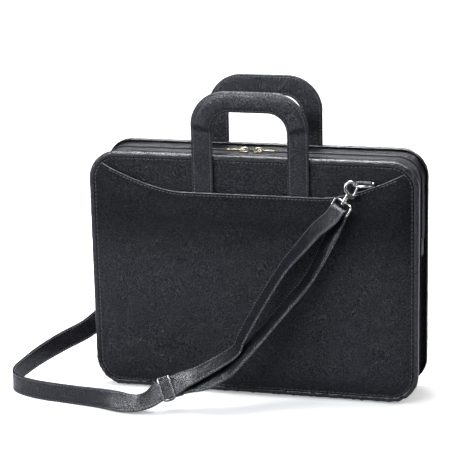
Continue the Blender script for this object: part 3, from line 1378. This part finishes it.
def main_axes(i):
    """Origin, along, across and normal of the band at a point of the main curve."""
    along = unit(MAIN_CURVE[i + 1][:3] - MAIN_CURVE[i - 1][:3])
    across = MAIN_CURVE[i][3:]
    across = unit(across - along * (across @ along))
    return MAIN_CURVE[i][:3], along, across, np.cross(along, across)


def beside_main(i, along, across, normal):
    """A station offset from the main curve, with the band turned the same way."""
    axes = main_axes(i)
    return [*place([along, across, normal], axes), *axes[2]]


def fold_round(bar, out, apart, across, back=(4, 11)):
    """The strap's turn round a bar: out is the way it leaves, apart runs between its two
    bands, back lists the distances of the stations after the turn."""
    radius, spread = 4.1, 0.06
    points = [bar - apart * (radius + spread * d) + out * d for d in (11, 4)]
    points += [bar - out * (radius * math.cos(a)) + apart * (radius * math.sin(a))
               for a in np.radians([-90, -54, -18, 18, 54, 90])]
    points += [bar + apart * (radius + spread * d) + out * d for d in back]
    return [[*point, *across] for point in points]


def strap_stations():
    """One run: the tail from the buckle, up to the front hook, round its bar, down
    again, along the floor and up behind to the rear hook."""
    front_bar = joint_mm("front_hook_turn") + np.array([-0.445, -0.2, -0.873]) * 12
    ring_x = joint_mm("front_ring_drop")[0]
    rear_bar = np.array([front_bar[0] - 2 * ring_x, -front_bar[1], front_bar[2]])
    front_across = np.array([0.741, -0.630, -0.234])
    rear_across = front_across * [1, -1, 1]
    front_apart = unit(np.cross([-0.561, -0.077, -0.825], front_across))
    rear_apart = unit(np.cross([-0.42, 0.1, -0.9], rear_across))
    front_out = unit(np.cross(front_across, front_apart))
    rear_out = unit(np.cross(rear_across, rear_apart))
    tail = [beside_main(BUCKLE_AT, -17, .8, BAR_OFFSET - BAR_FOLD - 1.5),
            beside_main(BUCKLE_AT, -5, .2, BAR_OFFSET - BAR_FOLD)]
    tail += [beside_main(BUCKLE_AT, BAR_FOLD * math.cos(a), 0,
                         BAR_OFFSET + BAR_FOLD * math.sin(a))
             for a in np.radians([-90, -45, 0, 45, 90])]
    tail += [beside_main(BUCKLE_AT, -5, .2, BAR_OFFSET + BAR_FOLD),
             beside_main(10, 0, 1, -4.9), beside_main(6, 0, 5.5, -6.3)]
    return (tail + TAIL_START + UNDER_RUN
            + fold_round(front_bar, front_out, front_apart, front_across, back=(4,))
            + UP_TO_HOOK + MAIN_RUN[1:]
            + fold_round(rear_bar, rear_out, rear_apart, rear_across) + REAR_END)


def build_strap():
    curve = spline(strap_stations(), step=2.2)
    centre = relax(curve[:, :3], 3)
    across = relax(unit(curve[:, 3:]), 3)
    along = tangents(centre)
    across = unit(across - along * (across * along).sum(-1, keepdims=True))
    normal = np.cross(along, across)
    dist = lengths(centre)
    half = STRAP_W / 2
    edges = np.array([0, .12, .5, 1.1, 1.7, 2.2, 2.7, 3.4, 5])
    lines = np.array([*(edges - half), -6, -2.5, 0, 2.5, 6, *(half - edges[::-1])])
    edge = half - np.abs(lines)
    thick = STRAP_THICK / 2 * rounded(edge, 1.3, least=0.04) * 0.86 + 0.20 * smooth(edge / 7)
    thick = thick - 0.26 * bell(edge, 2.3, 0.55)         # grooves under the stitches
    flat = columns(dist[:, None], lines)
    waves = 0.10 * noise(flat * [1, 1.6], 30, 71) + 0.05 * noise(flat, 9, 72)
    cup = 0.5 * (np.abs(lines) / half) ** 2
    faces = [centre[:, None] + across[:, None] * lines[None, :, None]
             + normal[:, None] * (way * thick[None] + waves + cup[None])[..., None]
             for way in (1, -1)]
    band = Parts()
    band.shell(*faces)
    strap = band.make("shoulder_strap", MAT_STRAP)
    weld(strap)
    rows = Parts()
    for k in (5, len(lines) - 6):
        for face, way in zip(faces, (1, -1)):
            rows.stitches(face[:, k], normal * way, pitch=3.7, radius=0.36, lift=0.06)
    strap_rows = rows.make("strap_stitches", MAT_THREAD)
    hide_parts("strap_front_loop", "strap_main", "strap_tail")
    for obj in (strap, strap_rows):
        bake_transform(obj)


def build_buckle():
    """Slide buckle: two outer bars over the strap, joined by bent ends to the bar behind."""
    origin, along, across, normal = main_axes(BUCKLE_AT)
    buckle = Parts()

    def rod(corners, radius, closed=False):
        corners = np.array(corners, float)
        following = np.roll(corners, -1, 0) if closed else corners[1:]
        points = [a + (b - a) * t for a, b in zip(corners, following)
                  for t in np.arange(5) / 5]
        if not closed:
            points.append(corners[-1])
        path = place(relax(points, 2, closed), (origin, along, normal, across))
        buckle.tube(path, radius, closed=closed)

    half, reach, rise = 14.2, 6.8, 3.5
    # one bent end: along, off the band, across
    end = [(-reach, rise, half - 2), (-reach + .8, rise - 1.2, half),
           (-1.2, BAR_OFFSET + 1.4, half), (0, BAR_OFFSET + .6, half),
           (1.2, BAR_OFFSET + 1.4, half), (reach - .8, rise - 1.2, half),
           (reach, rise, half - 2)]
    other = [(x, y, -z) for x, y, z in end[::-1]]
    rod(other[-1:] + end + other[:-1], 1.15, closed=True)
    rod([(0, BAR_OFFSET, -half + .2), (0, BAR_OFFSET, 0), (0, BAR_OFFSET, half - .2)], 1.05)
    obj = buckle.make("slide_buckle", MAT_NICKEL)
    assign(obj, "rear_shell", "nickel_hardware", "buckle_frame")


build_strap()
build_buckle()


# ---------------------------------------------------------------- linings and zip ends
def cloth_sheet(name, node, body, soft, seed, spans, corner, hem=2.4):
    """A thin sewn sheet filling the node's box, flat across Y, with rounded corners, a
    hem and a soft face; spans is (across, up)."""
    low, high = box_mm(node)
    size, middle = high - low, (low + high) / 2
    fine = (0, .2, .5, 1, 1.6, 2.4, 3.2, 4.4)
    u, v = (clustered(size[axis], near=6, fine=fine, step=size[axis] / count)
            for axis, count in zip((0, 2), spans))
    half_u, half_v = u[-1] / 2, v[-1] / 2
    x, z = np.meshgrid(u, v, indexing="ij")
    x, z = x - half_u, z - half_v
    # pull the ends of the rows in so that the corners are rounded
    over = np.maximum(0, np.abs(z) - (half_v - corner))
    limit = half_u - corner + np.sqrt(np.maximum(0, corner * corner - over ** 2))
    x = x * limit / half_u
    edge = np.minimum(limit - np.abs(x), half_v - np.abs(z))
    thick = size[1] / 2
    depth = thick * rounded(edge, max(thick, .5), least=0.03) * 0.8
    depth = depth + thick * 0.2 * bell(edge, hem / 2, 1.0) - thick * 0.22 * bell(edge, hem, .4)
    flat = columns(x, z)
    waves = soft * smooth(edge / 12) * noise(flat, 60, seed)
    waves = waves + 0.3 * soft * smooth(edge / 6) * noise(flat, 17, seed + 1)
    faces = [columns(x + middle[0], middle[1] + way * depth + waves, z + middle[2])
             for way in (1, -1)]
    sheet = Parts()
    sheet.shell(*faces)
    obj = sheet.make(name, MAT_LINING)
    weld(obj, 0.00001)
    assign(obj, body, "lining_cloth", node)


def build_zip_tabs():
    """Leather tabs folded over the zip's two ends."""
    low, high = box_mm("zip_end_tabs")
    bottom, top = low[2], high[2]
    half = 9.0
    heights = np.linspace(bottom, top, 34)
    edges = np.array([9.0, 8.9, 8.5, 7.8, 7])
    across = np.concatenate([-edges, np.linspace(-6, 6, 9), edges[::-1]])
    width = half - 3.2 * smooth((heights - (top - 5)) / 5)
    width = (width - 2.0 * smooth((bottom + 4 - heights) / 4))[:, None]
    z, y = np.meshgrid(heights, across, indexing="ij")
    y = y * (width / half)
    edge = np.minimum(width - np.abs(y), np.minimum(z - bottom, top - z))
    thick = 0.8 * rounded(edge, 1.0, least=.03) - 0.25 * bell(edge, 2.2, .5)
    middle = HALF_W - 2.6
    tabs = []
    for hand in (-1, 1):
        dome = 0.7 * (1 - (np.abs(y) / half) ** 2) + 0.12 * noise(columns(z, y), 9, 120 + hand)
        tab = Parts()
        tab.shell(columns(hand * (middle + thick + dome), y, z),
                  columns(hand * (middle - thick * .6 + dome), y, z), flip=hand < 0)
        obj = tab.make("tab%d" % hand, MAT_GUSSET)
        weld(obj, 0.00001)
        tabs.append(obj)
    assign(join("zip_tabs", tabs), "rear_shell", "edge_leather", "zip_end_tabs")


for side in (-1, 1):
    cloth_sheet(TAG[side] + "_lining_cloth", TAG[side] + "_lining", SHELL[side], soft=0.12,
                seed=101 + side, spans=(90, 66), corner=28.0)
cloth_sheet("inner_pocket_cloth", "inner_pocket", "rear_shell", soft=0.1, seed=111,
            spans=(70, 50), corner=9.0, hem=7.0)
build_zip_tabs()


# ---------------------------------------------------------------- floor, light, camera
def floor_material():
    """White where the camera sees it, greyer to other rays."""
    shader = Shader(bpy.data.materials.new("floor_white"))
    patches = shader.noise(shader.coords(), Scale=3.0, Detail=3.0)
    seen = shader.node("LightPath").outputs["Is Camera Ray"]
    white = shader.ramp(patches, (0.3, (0.93, 0.93, 0.935)), (0.7, (0.95, 0.95, 0.953)))
    colour = shader.node("MixRGB", Fac=seen, Color1=(0.30, 0.30, 0.33, 1), Color2=white)
    # seen directly, the floor brightens away from the case to an even white
    position = shader.node("NewGeometry").outputs["Position"]
    radius = shader.node("VectorMath", {"operation": "LENGTH"}, Vector=position)
    far = shader.times(shader.minus(radius.outputs["Value"], 0.45), 0.55, clamp=True)
    glow = shader.times(seen, shader.add(shader.times(far, 0.68), 0.285))
    return shader.surface({"Base Color": colour.outputs[0], "Roughness": 0.75,
                           "Specular IOR Level": 0.25, "Emission Color": (1, 1, 1, 1),
                           "Emission Strength": shader.add(glow, 0.05)})


def build_floor():
    mesh = bpy.data.meshes.new("floor")
    mesh.from_pydata([(-14, -9, 0), (14, -9, 0), (14, 16, 0), (-14, 16, 0)], [],
                     [(0, 1, 2, 3)])
    floor = link_mesh("floor", mesh, floor_material())
    floor.location.z = -0.0004


def build_world(scene):
    """Overhead light, a dark belt just above the horizon and mid grey below, which give
    the leather bright rims and dark bands; the camera itself sees near-white."""
    world = bpy.data.worlds.new("studio")
    scene.world = world
    shader = Shader(world)
    seen = shader.node("LightPath").outputs["Is Camera Ray"]
    split = shader.node("SeparateXYZ", Vector=shader.coords("Generated"))
    height = shader.add(shader.times(split.outputs["Z"], 0.5), 0.5)
    belts = shader.ramp(height, (0.47, 0.17), (0.51, 0.045), (0.69, 0.045), (0.80, 0.30),
                        (1.0, 0.38))
    unseen = shader.times(shader.minus(1.0, seen), belts)
    background = shader.tree.nodes["Background"].inputs
    background[0].default_value = (1, 1, 1, 1)
    shader.put(background[1], shader.add(shader.times(seen, 0.97), unseen))


def area_light(name, place_at, target, size, power, colour=(1, 1, 1)):
    light = bpy.data.lights.new(name, "AREA")
    light.shape = "RECTANGLE"
    light.size, light.size_y = size
    light.energy = power
    light.color = colour
    obj = bpy.data.objects.new(name, light)
    obj.location = place_at
    aim = Vector(target) - Vector(place_at)
    obj.rotation_euler = aim.to_track_quat("-Z", "Y").to_euler()
    bpy.context.scene.collection.objects.link(obj)


def build_camera(scene):
    """Looks at the target from the front, a little from the right and above."""
    azimuth, elevation, roll = (math.radians(v) for v in (14.8, 15.58, -1.285))
    distance, target = 2.300, Vector((-0.0363, 0, 0.19555))
    back = Vector((math.sin(azimuth) * math.cos(elevation),
                   -math.cos(azimuth) * math.cos(elevation), math.sin(elevation)))
    level = Vector((math.cos(azimuth), math.sin(azimuth), 0))
    above = level.cross(-back)
    right = level * math.cos(roll) + above * math.sin(roll)
    up = -level * math.sin(roll) + above * math.cos(roll)
    data = bpy.data.cameras.new("camera")
    data.sensor_width = 36.0
    data.lens = 148.695652
    data.clip_end = 60
    camera = bpy.data.objects.new("camera", data)
    scene.collection.objects.link(camera)
    rows = zip(right, up, back, target + back * distance)
    camera.matrix_world = Matrix((*rows, (0, 0, 0, 1)))
    scene.camera = camera


scene = bpy.context.scene
build_floor()
build_world(scene)
scene.view_settings.view_transform = "Standard"
scene.view_settings.look = "None"

COOL = (0.93, 0.96, 1.0)
area_light("top_soft", place_at=(-0.2, 0.1, 1.5), target=(0, 0, 0.2), size=(1.0, 0.4),
           power=34, colour=COOL)
area_light("rear_strip", place_at=(0.2, 1.5, 1.35), target=(0, 0, 0.25), size=(2.2, 0.2),
           power=22)
area_light("left_strip", place_at=(-1.6, -1.3, 1.0), target=(0, 0, 0.15), size=(0.3, 1.2),
           power=16, colour=COOL)
area_light("right_strip", place_at=(1.7, -0.5, 0.9), target=(0, 0, 0.15), size=(0.22, 1.3),
           power=5)
area_light("front_key", place_at=(-0.5, -1.45, 1.0), target=(-0.1, -0.6, 0.0),
           size=(0.8, 0.3), power=16.5, colour=(0.86, 0.90, 1.0))
build_camera(scene)
